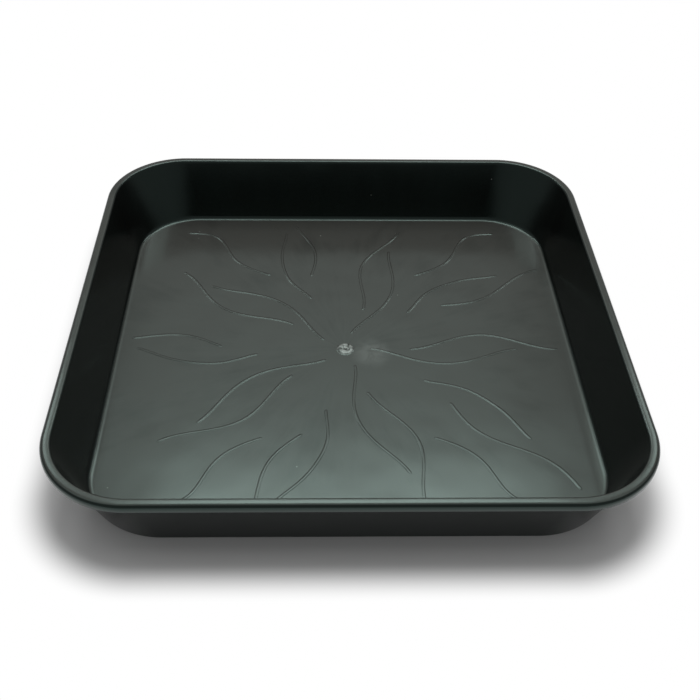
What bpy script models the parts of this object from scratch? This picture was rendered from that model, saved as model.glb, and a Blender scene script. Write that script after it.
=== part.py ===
"""Square plant saucer, one injection moulding in black polypropylene.

Metres, +Z up. The origin is the middle of the face that the saucer stands on.
Run with: blender --background --python part.py
"""
import math
from collections import namedtuple

import bmesh
import bpy
from mathutils import Matrix, Vector

# Whole saucer
TRAY_SIDE = 0.400          # across two opposite outer faces of the rim
TRAY_HEIGHT = 0.0565       # table to the top of the rim
RIM_CORNER = 0.0615        # plan radius of the rim's outer face

# Rim: a flat band on top, turned down into a skirt outside
RIM_BAND = 0.0068          # outer face of the rim to the mouth
RIM_DROP = 0.0058          # height of the rim's outer face
RIM_THICKNESS = 0.0019     # plastic under the band and behind the outer face
RIM_ROUND = 0.0030         # rounding between the band and the outer face
MOUTH_ROUND = 0.0018       # rounding between the band and the inner wall
SKIRT_CHAMFER = 0.0004     # broken edges along the bottom of the skirt
MOUTH_CORNER = 0.0557      # plan radius of the mouth

# Leaning wall and floor
WALL = 0.0020              # wall thickness, measured level
FLOOR_SIDE = 0.3577        # floor, to the corner where the inner wall's line meets it
FLOOR_CORNER = 0.0510      # plan radius of the floor
FLOOR_THICKNESS = 0.0024
FLOOR_FILLET = 0.0040      # inner radius between floor and wall

# Foot: the outer wall runs down past the floor and carries the tray
FOOT_HEIGHT = 0.0018       # table to the underside of the floor
FOOT_WIDTH = 0.0040        # level width of the face that stands on the table
FOOT_CORNER = 0.0564       # plan radius of the outer wall at the table
FOOT_ROUND = 0.0012        # rounding between the foot and the outer wall
FOOT_DRAFT = 0.0006        # lean of the foot's inner face over its height

# Wavy ribs that hold the pot clear of the water
RIB_WIDTH = 0.0020
RIB_HEIGHT = 0.0006        # above the floor
RIB_WALL_GAP = 0.0070      # ribs stop this far short of the floor's edge
RIB_STATIONS = 16          # points along a rib
RIB_SHORTEST = 0.0100      # a rib with less than this on the floor is left out

# Gate mark at the middle of the floor
GATE_RADIUS = 0.0073
GATE_HEIGHT = 0.0009
NUB_RADIUS = 0.0017
NUB_HEIGHT = 0.0016        # above the top of the gate dome
NUB_CHAMFER = 0.0004       # broken edge round the top of the stub

# Fineness of the faceted solid
CORNER_STEPS = 9           # facets round each plan corner
ROUND_STEPS = 3            # facets round each small edge rounding
FILLET_STEPS = 5
TURN_STEPS = 28            # facets round the gate mark
SINK = 0.0010              # how far a joined form reaches into the floor
REACH_STEP = 0.002         # step, as a share of a rib, to find where it nears the wall

# A rib's centreline, in the frame of its own spoke or corner: it runs from start to end, each given as
# (distance along, distance to the left). Off that chord it swings by three waves: bow is one swing to
# the left and back, s_bend one swing each way, and fullness squares the bow's shoulders.
RibForm = namedtuple("RibForm", "name spoke start end bow s_bend fullness")
SPOKES = 5
SPOKE_RIBS = (
    RibForm("inner_long", 0, (0.0195, 0.0009), (0.1360, 0.0005), -0.0189, -0.0003, -0.0016),
    RibForm("outer_long", 0, (0.0505, 0.0), (0.1680, 0.0), 0.0178, 0.0004, 0.0004),
    RibForm("middle", 36, (0.0681, 0.0058), (0.1636, -0.0013), 0.0160, 0.0010, 0.0026),
    RibForm("outer_bend", 36, (0.0970, -0.0030), (0.2126, -0.0235), -0.0023, -0.0068, 0.0),
)
CORNER_RIB = RibForm("corner", 0, (0.0613, 0.0949), (0.1378, 0.1565), 0.0041, -0.0082, 0.0023)

# Finish
BLACK_PLASTIC = (0.016, 0.018, 0.017, 1.0)
PLASTIC_ROUGHNESS = 0.36
SHARP_ANGLE = math.radians(35)

# A plan section of the saucer: a rounded square at a height
Section = namedtuple("Section", "half corner z")


def clear_scene():
    for obj in list(bpy.data.objects):
        bpy.data.objects.remove(obj, do_unlink=True)


def new_collection(name):
    collection = bpy.data.collections.new(name)
    bpy.context.scene.collection.children.link(collection)
    return collection


def plastic():
    material = bpy.data.materials.new("black_polypropylene")
    material.use_nodes = True
    shader = material.node_tree.nodes["Principled BSDF"]
    shader.inputs["Base Color"].default_value = BLACK_PLASTIC
    shader.inputs["Roughness"].default_value = PLASTIC_ROUGHNESS
    shader.inputs["Metallic"].default_value = 0.0
    return material


def lerp(low, high, share):
    return low + (high - low) * share


def floor_top():
    return FOOT_HEIGHT + FLOOR_THICKNESS


def mouth_half():
    return TRAY_SIDE / 2 - RIM_BAND


def wall_run():
    """Level distance that the inner wall gains per unit of height."""
    return (mouth_half() - FLOOR_SIDE / 2) / (TRAY_HEIGHT - floor_top())


def inner_wall(z):
    """Section of the inner wall's face at a height, as a loft from the floor to the mouth."""
    share = (z - floor_top()) / (TRAY_HEIGHT - floor_top())
    half = lerp(FLOOR_SIDE / 2, mouth_half(), share)
    return Section(half, lerp(FLOOR_CORNER, MOUTH_CORNER, share), z)


def outer_wall(z):
    """Section of the outer wall's face at a height: the inner wall plus the wall's thickness."""
    under_rim = TRAY_HEIGHT - RIM_THICKNESS
    corner = lerp(FOOT_CORNER, MOUTH_CORNER + WALL, z / under_rim)
    return Section(inner_wall(z).half + WALL, corner, z)


def moved_in(section, inset, z):
    """The section drawn in all round by a level inset, at another height."""
    return Section(section.half - inset, section.corner - inset, z)


def foot_sections():
    """Underside of the floor, down the foot's inner face, and round into the outer wall."""
    table = outer_wall(0.0)
    lean = math.atan(wall_run())
    sections = [
        moved_in(table, FOOT_WIDTH + FOOT_DRAFT, FOOT_HEIGHT),
        moved_in(table, FOOT_WIDTH, 0.0),
    ]
    tangent = FOOT_ROUND * math.tan((math.pi / 2 - lean) / 2)
    for step in range(ROUND_STEPS + 1):
        turn = (math.pi / 2 - lean) * step / ROUND_STEPS
        inset = tangent - FOOT_ROUND * math.sin(turn)
        sections.append(moved_in(table, inset, FOOT_ROUND * (1 - math.cos(turn))))
    return sections


def rim_sections():
    """Up the outer wall, under the band, down and round the skirt, over the band and into the mouth."""
    face = Section(TRAY_SIDE / 2, RIM_CORNER, TRAY_HEIGHT)
    under_band = TRAY_HEIGHT - RIM_THICKNESS
    skirt_foot = TRAY_HEIGHT - RIM_DROP
    hollow_round = RIM_ROUND - RIM_THICKNESS
    sections = [outer_wall(under_band)]
    for step in range(ROUND_STEPS + 1):
        turn = math.pi / 2 * (1 - step / ROUND_STEPS)
        inset = RIM_ROUND - hollow_round * math.cos(turn)
        sections.append(moved_in(face, inset, TRAY_HEIGHT - RIM_ROUND + hollow_round * math.sin(turn)))
    sections += [
        moved_in(face, RIM_THICKNESS, skirt_foot + SKIRT_CHAMFER),
        moved_in(face, RIM_THICKNESS - SKIRT_CHAMFER, skirt_foot),
        moved_in(face, SKIRT_CHAMFER, skirt_foot),
        moved_in(face, 0.0, skirt_foot + SKIRT_CHAMFER),
    ]
    for step in range(ROUND_STEPS + 1):
        turn = math.pi / 2 * step / ROUND_STEPS
        drop = RIM_ROUND * (1 - math.sin(turn))
        sections.append(moved_in(face, RIM_ROUND * (1 - math.cos(turn)), TRAY_HEIGHT - drop))
    mouth = inner_wall(TRAY_HEIGHT)
    lean = math.atan(wall_run())
    tangent = MOUTH_ROUND * math.tan((math.pi / 2 - lean) / 2)
    for step in range(ROUND_STEPS + 1):
        turn = (math.pi / 2 - lean) * step / ROUND_STEPS
        inset = MOUTH_ROUND * math.sin(turn) - tangent
        sections.append(moved_in(mouth, inset, TRAY_HEIGHT - MOUTH_ROUND * (1 - math.cos(turn))))
    return sections


def floor_edge_inset():
    """How far inside the wall's line the flat of the floor ends and the fillet begins."""
    lean = math.atan(wall_run())
    return FLOOR_FILLET * math.tan((math.pi / 2 - lean) / 2)


def floor_sections():
    """Round the fillet from the inner wall to the edge of the flat floor."""
    edge = inner_wall(floor_top())
    lean = math.atan(wall_run())
    sections = []
    for step in range(FILLET_STEPS + 1):
        turn = (math.pi / 2 - lean) * (1 - step / FILLET_STEPS)
        inset = floor_edge_inset() - FLOOR_FILLET * math.sin(turn)
        rise = FLOOR_FILLET * (1 - math.cos(turn))
        sections.append(moved_in(edge, inset, floor_top() + rise))
    return sections


def outline(section):
    """Points of a rounded square, anticlockwise from the top of its right side."""
    centre = section.half - section.corner
    points = []
    for quarter in range(4):
        middle = math.pi / 4 + quarter * math.pi / 2
        x = math.copysign(centre, math.cos(middle))
        y = math.copysign(centre, math.sin(middle))
        for step in range(CORNER_STEPS + 1):
            angle = quarter * math.pi / 2 + math.pi / 2 * step / CORNER_STEPS
            ahead = section.corner * math.cos(angle)
            aside = section.corner * math.sin(angle)
            points.append((x + ahead, y + aside, section.z))
    return points


def loft(name, sections, material, collection):
    """Closed body through the sections, capped flat at the first and the last."""
    mesh = bpy.data.meshes.new(name)
    shape = bmesh.new()
    rings = [[shape.verts.new(point) for point in outline(section)] for section in sections]
    for lower, upper in zip(rings, rings[1:]):
        for index, vertex in enumerate(lower):
            following = (index + 1) % len(lower)
            shape.faces.new((vertex, lower[following], upper[following], upper[index]))
    shape.faces.new(rings[0][::-1])
    shape.faces.new(rings[-1])
    bmesh.ops.recalc_face_normals(shape, faces=shape.faces)
    shape.to_mesh(mesh)
    shape.free()
    mesh.materials.append(material)
    obj = bpy.data.objects.new(name, mesh)
    collection.objects.link(obj)
    return obj


def on_floor(x, y):
    """Whether a point lies on the part of the floor that ribs may cover."""
    edge = moved_in(inner_wall(floor_top()), floor_edge_inset() + RIB_WALL_GAP, floor_top())
    centre = edge.half - edge.corner
    past_x = abs(x) - centre
    past_y = abs(y) - centre
    if past_x > 0 and past_y > 0:
        return math.hypot(past_x, past_y) <= edge.corner
    return abs(x) <= edge.half and abs(y) <= edge.half


def rib_point(form, share):
    """Centreline point at a share of the way along the chord, before the rib is turned to its spoke."""
    run = form.end[0] - form.start[0]
    climb = form.end[1] - form.start[1]
    length = math.hypot(run, climb)
    swing = form.bow * math.sin(math.pi * share) ** 2
    swing += form.s_bend * math.sin(2 * math.pi * share)
    swing += form.fullness * math.sin(3 * math.pi * share)
    x = form.start[0] + run * share - climb / length * swing
    y = form.start[1] + climb * share + run / length * swing
    return Vector((x, y))


def share_on_floor(form, place):
    """Share of the chord at which a rib, put in its place, comes to the edge of the ribs' floor."""
    share = 0.0
    while share < 1.0 and on_floor(*(place @ rib_point(form, share))):
        share += REACH_STEP
    return min(share, 1.0)


def rib_line(form, place):
    """Centreline of a rib, put in its place by a turn or a mirror and cut off near the wall."""
    last = share_on_floor(form, place)
    return [place @ rib_point(form, last * station / (RIB_STATIONS - 1)) for station in range(RIB_STATIONS)]


def rib_lines():
    """Centrelines by name: each spoke form on all its spokes, and the corner rib in all four corners."""
    lines = {}
    for form in SPOKE_RIBS:
        for spoke in range(SPOKES):
            turn = math.radians(form.spoke) + 2 * math.pi * spoke / SPOKES
            lines[f"{form.name}_{spoke}"] = rib_line(form, Matrix.Rotation(turn, 2))
    for number, (side_x, side_y) in enumerate(((1, 1), (-1, 1), (-1, -1), (1, -1))):
        mirror = Matrix(((side_x, 0.0), (0.0, side_y)))
        lines[f"{CORNER_RIB.name}_{number}"] = rib_line(CORNER_RIB, mirror)
    return {name: line for name, line in lines.items() if (line[-1] - line[0]).length > RIB_SHORTEST}


def rib_bar(name, line, collection):
    """Round bar whose crown stands RIB_HEIGHT over the floor and is RIB_WIDTH wide at the floor."""
    radius = (RIB_WIDTH ** 2 / 4 + RIB_HEIGHT ** 2) / (2 * RIB_HEIGHT)
    curve = bpy.data.curves.new(name, "CURVE")
    curve.dimensions = "3D"
    curve.twist_mode = "Z_UP"
    curve.bevel_depth = radius
    curve.bevel_resolution = 2
    curve.use_fill_caps = True
    spline = curve.splines.new("POLY")
    spline.points.add(len(line) - 1)
    depth = floor_top() + RIB_HEIGHT - radius
    for point, (x, y) in zip(spline.points, line):
        point.co = (x, y, depth, 1.0)
    obj = bpy.data.objects.new(name, curve)
    collection.objects.link(obj)
    return obj


def joined_bars(name, bars, collection):
    """One mesh of all the bars, end caps welded on and flat SINK deep in the floor that they join."""
    depsgraph = bpy.context.evaluated_depsgraph_get()
    shape = bmesh.new()
    for bar in bars:
        mesh = bpy.data.meshes.new_from_object(bar.evaluated_get(depsgraph))
        mesh.transform(bar.matrix_world)
        shape.from_mesh(mesh)
        bpy.data.meshes.remove(mesh)
    bmesh.ops.remove_doubles(shape, verts=shape.verts, dist=0.00001)
    for vertex in shape.verts:
        vertex.co.z = max(vertex.co.z, floor_top() - SINK)
    bmesh.ops.recalc_face_normals(shape, faces=shape.faces)
    joined = bpy.data.meshes.new(name)
    shape.to_mesh(joined)
    shape.free()
    for bar in bars:
        bpy.data.objects.remove(bar, do_unlink=True)
    obj = bpy.data.objects.new(name, joined)
    collection.objects.link(obj)
    return obj


def gate_mark(name, collection):
    """Turned body: a low dome with the stub of the gate on top, reaching down into the floor."""
    crown = (GATE_RADIUS ** 2 + GATE_HEIGHT ** 2) / (2 * GATE_HEIGHT)
    top = floor_top() + GATE_HEIGHT
    profile = [(0.0, top + NUB_HEIGHT), (NUB_RADIUS - NUB_CHAMFER, top + NUB_HEIGHT)]
    profile += [(NUB_RADIUS, top + NUB_HEIGHT - NUB_CHAMFER)]
    for step in range(ROUND_STEPS + 2):
        radius = lerp(NUB_RADIUS, GATE_RADIUS, step / (ROUND_STEPS + 1))
        profile.append((radius, top - crown + math.sqrt(crown ** 2 - radius ** 2)))
    profile += [(GATE_RADIUS, floor_top() - SINK), (0.0, floor_top() - SINK)]
    mesh = bpy.data.meshes.new(name)
    edges = [(index, index + 1) for index in range(len(profile) - 1)]
    mesh.from_pydata([(x, 0.0, z) for x, z in profile], edges, [])
    obj = bpy.data.objects.new(name, mesh)
    collection.objects.link(obj)
    screw = obj.modifiers.new("turn", "SCREW")
    screw.angle = 2 * math.pi
    screw.steps = TURN_STEPS
    screw.render_steps = TURN_STEPS
    screw.use_merge_vertices = True
    screw.merge_threshold = 0.00001
    return obj


def as_cutter(obj):
    obj.hide_render = True
    obj.display_type = "WIRE"
    return obj


def join_to(body, form):
    union = body.modifiers.new(form.name, "BOOLEAN")
    union.operation = "UNION"
    union.solver = "EXACT"
    union.object = form


def main():
    clear_scene()
    parts = new_collection("square_plant_saucer")
    cutters = new_collection("cutters")

    sections = foot_sections() + rim_sections() + floor_sections()
    saucer = loft("saucer", sections, plastic(), parts)

    bars = [rib_bar(name, line, cutters) for name, line in rib_lines().items()]
    bpy.context.view_layer.update()
    join_to(saucer, as_cutter(joined_bars("floor_ribs", bars, cutters)))
    join_to(saucer, as_cutter(gate_mark("gate_mark", cutters)))

    saucer.data.shade_smooth()
    saucer.data.set_sharp_from_angle(angle=SHARP_ANGLE)
    flats = saucer.modifiers.new("flats_shade_flat", "WEIGHTED_NORMAL")
    flats.keep_sharp = True


main()
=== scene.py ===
"""Visual model of a square plant saucer in black polypropylene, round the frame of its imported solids.

It is laid out as a Blender 4.5 add-on: sizes and finish are scene properties, each piece has its operator,
and main() runs them in order. Metres, +Z up, with the origin in the middle of the face that it stands on.
"""
import math

import bmesh
import bpy
from bpy.props import FloatProperty, FloatVectorProperty, IntProperty, PointerProperty
from bpy.types import Node, NodeSocket, Operator, Panel, PropertyGroup
from mathutils import Matrix, Vector


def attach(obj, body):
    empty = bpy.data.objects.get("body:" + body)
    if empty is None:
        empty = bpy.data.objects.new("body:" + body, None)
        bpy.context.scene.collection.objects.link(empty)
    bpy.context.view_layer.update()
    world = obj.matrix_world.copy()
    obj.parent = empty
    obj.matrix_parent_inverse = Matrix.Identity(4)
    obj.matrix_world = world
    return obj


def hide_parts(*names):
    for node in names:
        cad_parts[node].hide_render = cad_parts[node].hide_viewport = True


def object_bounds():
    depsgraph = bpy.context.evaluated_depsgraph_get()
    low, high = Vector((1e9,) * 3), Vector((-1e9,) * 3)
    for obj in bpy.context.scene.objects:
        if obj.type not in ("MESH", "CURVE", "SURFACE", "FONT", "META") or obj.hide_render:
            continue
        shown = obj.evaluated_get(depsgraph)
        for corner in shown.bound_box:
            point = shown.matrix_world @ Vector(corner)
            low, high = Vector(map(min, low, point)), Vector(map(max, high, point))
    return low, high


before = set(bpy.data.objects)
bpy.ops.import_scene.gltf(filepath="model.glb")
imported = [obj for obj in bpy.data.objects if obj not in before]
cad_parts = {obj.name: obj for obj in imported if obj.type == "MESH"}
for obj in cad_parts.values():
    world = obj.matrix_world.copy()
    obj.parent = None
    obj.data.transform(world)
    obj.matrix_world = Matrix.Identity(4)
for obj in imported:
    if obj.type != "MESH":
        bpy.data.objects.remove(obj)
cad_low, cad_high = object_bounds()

bl_info = {
    "name": "Square Plant Saucer",
    "version": (1, 0, 0),
    "blender": (4, 5, 0),
    "location": "3D View > Sidebar > Saucer",
    "description": "Builds a moulded square plant saucer with wavy floor ribs",
    "category": "Add Mesh",
}

SAUCER_NODE = "saucer"
BODY = "root"
FRAME_PIXELS = 700               # side of the square photograph
WELD = 0.000001                  # points closer than this are one point, in metres
SHARP_ANGLE = math.radians(40)   # faces that meet at more than this keep a crisp edge
EDGE_TURNS = (0, 30, 60, 90)     # degrees at which the skirt's small bottom roundings are drawn


def linear(hex_colour):
    """Scene-linear RGBA of an sRGB colour written as #rrggbb."""
    channels = [int(hex_colour[place:place + 2], 16) / 255 for place in (1, 3, 5)]
    return tuple(c / 12.92 if c <= 0.04045 else ((c + 0.055) / 1.055) ** 2.4 for c in channels) + (1.0,)


def length(name, description, default):
    """A size property in metres."""
    return FloatProperty(
        name=name, description=description, default=default, min=0.0, unit="LENGTH", precision=5
    )


def count(name, description, default, least=1):
    """A whole-number property."""
    return IntProperty(name=name, description=description, default=default, min=least)


def amount(name, description, default, least=0.0, most=1.0):
    """A plain number property."""
    return FloatProperty(name=name, description=description, default=default, min=least, max=most)


def tint(name, description, hex_colour):
    """A colour property."""
    return FloatVectorProperty(
        name=name, description=description, default=linear(hex_colour), size=4, subtype="COLOR",
        min=0.0, max=1.0
    )


class TraySizes(PropertyGroup):
    """Sizes of the tray's section, from the foot to the rim."""

    side: length("Side", "Across two opposite outer faces of the rim", cad_high.x - cad_low.x)
    height: length("Height", "Table to the top of the rim", cad_high.z - cad_low.z)
    rim_corner: length("Rim Corner", "Plan radius of the rim's outer face", 0.0615)
    rim_band: length("Rim Band", "Outer face of the rim to the mouth", 0.0068)
    rim_drop: length("Rim Drop", "Height of the rim's outer face", 0.0058)
    rim_thickness: length("Rim Thickness", "Plastic under the band and behind the outer face", 0.0019)
    rim_round: length("Rim Round", "Rounding between the band and the outer face", 0.0030)
    mouth_round: length("Mouth Round", "Rounding between the band and the inner wall", 0.0018)
    mouth_corner: length("Mouth Corner", "Plan radius of the mouth", 0.0557)
    edge_round: length("Edge Round", "Rounding along the bottom of the turned-down face", 0.0004)
    wall: length("Wall", "Wall thickness, measured level", 0.0020)
    floor_side: length("Floor Side", "Floor, to the corner where the inner wall's line meets it", 0.3577)
    floor_corner: length("Floor Corner", "Plan radius of the floor", 0.0510)
    floor_thickness: length("Floor Thickness", "Plastic of the floor", 0.0024)
    floor_fillet: length("Floor Fillet", "Inner radius between floor and wall", 0.0040)
    foot_height: length("Foot Height", "Table to the underside of the floor", 0.0018)
    foot_width: length("Foot Width", "Level width of the face that stands on the table", 0.0040)
    foot_corner: length("Foot Corner", "Plan radius of the outer wall at the table", 0.0564)
    foot_round: length("Foot Round", "Rounding between the foot and the outer wall", 0.0012)
    foot_draft: length("Foot Draft", "Lean of the foot's inner face over its height", 0.0006)
    corner_steps: count("Corner Steps", "Facets round each plan corner", 40, least=3)
    side_steps: count("Side Steps", "Facets along each straight side", 24)
    round_steps: count("Round Steps", "Facets round each edge rounding", 7)
    guard: length("Guard", "Width of the narrow face that keeps each flat flat beside a rounding", 0.0006)


class RibSizes(PropertyGroup):
    """Sizes of the wavy ribs that hold the pot clear of the water."""

    spokes: count("Spokes", "Times the set of ribs goes round the gate", 5)
    width: length("Width", "Width of a rib where it meets the floor", 0.0031)
    crest: length("Crest", "Width of a rib's flat crest", 0.0006)
    flank_lean: FloatProperty(
        name="Flank Lean", description="Steepest slope of a rib's flank", default=math.radians(26),
        subtype="ANGLE",
    )
    wall_gap: length("Wall Gap", "Ribs stop this far short of the floor's edge", 0.0070)
    taper: length("Taper", "Length over which a rib dies away at each end", 0.0026)
    root: length("Root", "How far a rib's hidden foot reaches into the floor", 0.0006)
    tuck: length("Tuck", "How far the toe of a rib's flank dips under the floor's face", 0.00003)
    spacing: length("Spacing", "Distance between sections along a rib", 0.0007)


class GateSizes(PropertyGroup):
    """Sizes of the mark where the plastic entered the mould."""

    radius: length("Radius", "Radius of the low pad round the gate", 0.0073)
    height: length("Height", "Height of the pad over the floor", 0.0009)
    shoulder: amount("Shoulder", "Share of the way from the pad's edge to the stub that slopes", 0.5)
    tuck: length("Tuck", "How far the pad's toe dips under the floor's face", 0.00003)
    root: length("Root", "How far the mark's hidden foot reaches into the floor", 0.0006)
    nub_radius: length("Nub Radius", "Radius of the stub of the gate", 0.0016)
    nub_height: length("Nub Height", "Height of the stub over the pad", 0.0008)
    dish: length("Dish", "How far the stub's top drops in the middle and at its broken edge", 0.00016)
    quarter_steps: count("Quarter Steps", "Facets round each quarter of the mark", 18, least=2)


class PlasticFinish(PropertyGroup):
    """Colour and surface of the moulded plastic."""

    colour: tint("Colour", "Body colour of the plastic", "#0a0b0a")
    # The film colour is partly dust and lime and partly painted light: on level faces only, it keeps the
    # floor lighter than the walls.
    film: tint("Film", "Colour of the thin film of dust and lime that lies on the floor", "#3d3d3a")
    blush: tint("Blush", "Colour of the whitened plastic at the gate", "#bcc4bf")
    fleck: tint("Fleck", "Colour of the flecks of grit and lime", "#8a8d86")
    sheen_tint: tint("Sheen Tint", "Tint of what the surface reflects", "#dbfff5")
    roughness: amount("Roughness", "Mean roughness", 0.20)
    ior: amount("IOR", "Refractive index of polypropylene", 1.5, least=1.0, most=2.0)
    grain: length("Grain", "Spacing of the fine grain of the mould's surface", 0.0011)
    streak: FloatProperty(
        name="Streak", description="Angle that a flow streak takes up round the gate", default=0.110,
        subtype="ANGLE",
    )
    cloud: length("Cloud", "Size of the patches in which the film lies thicker", 0.062)
    wisp: length("Wisp", "Size of the wisps of blush beside the gate", 0.0100)
    patch: length("Patch", "Size of the whitened spots on the gate mark", 0.0042)
    fleck_gap: length("Fleck Gap", "Spacing of the cells that may hold a fleck", 0.0091)
    ripple: length("Ripple", "Length of the slow unevenness of the cooled skin", 0.045)


class StageSettings(PropertyGroup):
    """Floor, light and camera."""

    floor_colour: tint("Floor Colour", "Colour of the floor", "#dcdcdc")
    floor_side: length("Floor Side", "Side of the square floor", 8.0)
    shade_side: length("Shade Side", "Side of the rounded square from which the floor's shade fades", 0.400)
    shade_corner: length("Shade Corner", "Plan radius of that square's corners", 0.0615)
    shade_fade: length("Shade Fade", "Distance over which the floor fades to plain white", 0.030)
    back_radiance: amount("Back Radiance", "Brightness of the back softbox and strips", 5.0, most=100.0)
    top_radiance: amount("Top Radiance", "Brightness of the softbox over the saucer", 0.6, most=100.0)
    fill: amount("Fill", "Brightness of the room for diffuse light", 0.3)
    room: amount("Room", "Brightness of the room in gloss, off the backdrop", 0.3)
    backdrop_width: amount("Backdrop Width", "Sine of the backdrop's half width", 0.19)
    strip_offset: length("Strip Offset", "Middle of the back softbox to the middle of each strip", 1.00)
    strip_width: length("Strip Width", "Width of each strip beside the back softbox", 0.45)


# Shapes

def floor_top(sizes):
    """Height of the floor's upper face."""
    return sizes.foot_height + sizes.floor_thickness


def wall_lean(sizes):
    """Angle of the wall from upright, radians."""
    run = sizes.side / 2 - sizes.rim_band - sizes.floor_side / 2
    return math.atan(run / (sizes.height - floor_top(sizes)))


def inner_wall(sizes, z):
    """Half side and corner radius of the inner wall's face at a height."""
    share = (z - floor_top(sizes)) / (sizes.height - floor_top(sizes))
    mouth = sizes.side / 2 - sizes.rim_band
    half = sizes.floor_side / 2 * (1 - share) + mouth * share
    return half, sizes.floor_corner * (1 - share) + sizes.mouth_corner * share


def outer_wall(sizes, z):
    """Half side and corner radius of the outer wall's face at a height."""
    share = z / (sizes.height - sizes.rim_thickness)
    corner = sizes.foot_corner * (1 - share) + (sizes.mouth_corner + sizes.wall) * share
    return inner_wall(sizes, z)[0] + sizes.wall, corner


def inset(half_corner, distance, z):
    """Section (half side, corner radius, height) of a rounded square drawn in by a level distance."""
    half, corner = half_corner
    return half - distance, max(corner - distance, 0.0), z


def underside(sizes):
    """Sections from the middle of the underside to the outer wall, over the foot."""
    table = outer_wall(sizes, 0.0)
    edge = sizes.foot_width + sizes.foot_draft
    root = inset(table, edge, sizes.foot_height)
    sections = [(0.0, 0.0, sizes.foot_height)]
    sections += [inset(table, edge + sizes.guard, sizes.foot_height), root]
    sections += [inset(table, sizes.foot_width + sizes.edge_round, sizes.edge_round)]
    sections += [inset(table, sizes.foot_width - sizes.edge_round, 0.0)]
    turn_all = math.pi / 2 - wall_lean(sizes)
    tangent = sizes.foot_round * math.tan(turn_all / 2)
    sections += [inset(table, tangent + sizes.guard, 0.0)]
    for step in range(sizes.round_steps + 1):
        turn = turn_all * step / sizes.round_steps
        rise = sizes.foot_round * (1 - math.cos(turn))
        sections.append(inset(table, tangent - sizes.foot_round * math.sin(turn), rise))
    return sections


def rim(sizes):
    """Sections up the outer wall, under the band, round the skirt, over the band and into the mouth."""
    top = sizes.height
    face = (sizes.side / 2, sizes.rim_corner)
    under_band = top - sizes.rim_thickness
    sections = []
    for z in (sizes.foot_round + sizes.guard, under_band - 2 * sizes.guard):
        half, corner = outer_wall(sizes, z)
        sections.append((half, corner, z))
    hollow = sizes.rim_round - sizes.rim_thickness
    half, corner = outer_wall(sizes, under_band)
    sections.append((half + sizes.guard, corner, under_band))
    for step in range(sizes.round_steps + 1):
        turn = math.pi / 2 * (1 - step / sizes.round_steps)
        rise = top - sizes.rim_round + hollow * math.sin(turn)
        sections.append(inset(face, sizes.rim_round - hollow * math.cos(turn), rise))
    foot = top - sizes.rim_drop
    edge = sizes.edge_round
    for turn in EDGE_TURNS:
        angle = math.radians(turn)
        away = sizes.rim_thickness - edge * (1 - math.cos(angle))
        sections.append(inset(face, away, foot + edge * (1 - math.sin(angle))))
    for turn in reversed(EDGE_TURNS):
        angle = math.radians(turn)
        sections.append(inset(face, edge * (1 - math.cos(angle)), foot + edge * (1 - math.sin(angle))))
    for step in range(sizes.round_steps + 1):
        turn = math.pi / 2 * step / sizes.round_steps
        drop = sizes.rim_round * (1 - math.sin(turn))
        sections.append(inset(face, sizes.rim_round * (1 - math.cos(turn)), top - drop))
    mouth = inner_wall(sizes, top)
    turn_all = math.pi / 2 - wall_lean(sizes)
    tangent = sizes.mouth_round * math.tan(turn_all / 2)
    for step in range(sizes.round_steps + 1):
        turn = turn_all * step / sizes.round_steps
        away = sizes.mouth_round * math.sin(turn) - tangent
        sections.append(inset(mouth, away, top - sizes.mouth_round * (1 - math.cos(turn))))
    return sections


def floor_inset(sizes):
    """How far inside the wall's line the flat of the floor ends and the fillet begins."""
    return sizes.floor_fillet * math.tan((math.pi / 2 - wall_lean(sizes)) / 2)


def inside(sizes):
    """Sections down the inner wall, round the fillet and over the floor to its middle."""
    base = floor_top(sizes)
    edge = inner_wall(sizes, base)
    turn_all = math.pi / 2 - wall_lean(sizes)
    sections = []
    for z in (sizes.height - sizes.mouth_round - sizes.guard, base + sizes.floor_fillet):
        half, corner = inner_wall(sizes, z)
        sections.append((half, corner, z))
    for step in range(sizes.round_steps + 1):
        turn = turn_all * (1 - step / sizes.round_steps)
        away = floor_inset(sizes) - sizes.floor_fillet * math.sin(turn)
        sections.append(inset(edge, away, base + sizes.floor_fillet * (1 - math.cos(turn))))
    sections.append(inset(edge, floor_inset(sizes) + sizes.guard, base))
    sections.append((0.0, 0.0, base))
    return sections


FLANK_STEPS = 5    # facets on each of the two arcs of a rib's flank


def rib_section(sizes):
    """Outline of a rib across its run: flat crest, flanks of two arcs each and a root inside the floor."""
    half_crest = sizes.crest / 2
    reach = sizes.width / 2 - half_crest
    lean = sizes.flank_lean
    radius = reach / (2 * math.sin(lean))
    drop = 2 * radius * (1 - math.cos(lean))
    crest_arc = [lean * k / FLANK_STEPS for k in range(FLANK_STEPS + 1)]
    right = [(half_crest + radius * math.sin(a), drop - radius * (1 - math.cos(a))) for a in crest_arc]
    right += [(half_crest + sizes.width / 2 - x, drop - z) for x, z in reversed(right[:-1])]
    right = [(x, z - sizes.tuck) for x, z in right]
    root = [(sizes.width / 2, -sizes.root), (-sizes.width / 2, -sizes.root)]
    return right + root + [(-x, z) for x, z in reversed(right)]


def polyline(name, points, closed):
    """Mesh of points joined by edges, which a node tree takes as its section."""
    mesh = bpy.data.meshes.new(name)
    total = len(points)
    edges = [(k, (k + 1) % total) for k in range(total if closed else total - 1)]
    mesh.from_pydata(points, edges, [])
    return mesh


# Node trees

MATH = "ShaderNodeMath"
VECTOR_MATH = "ShaderNodeVectorMath"


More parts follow.
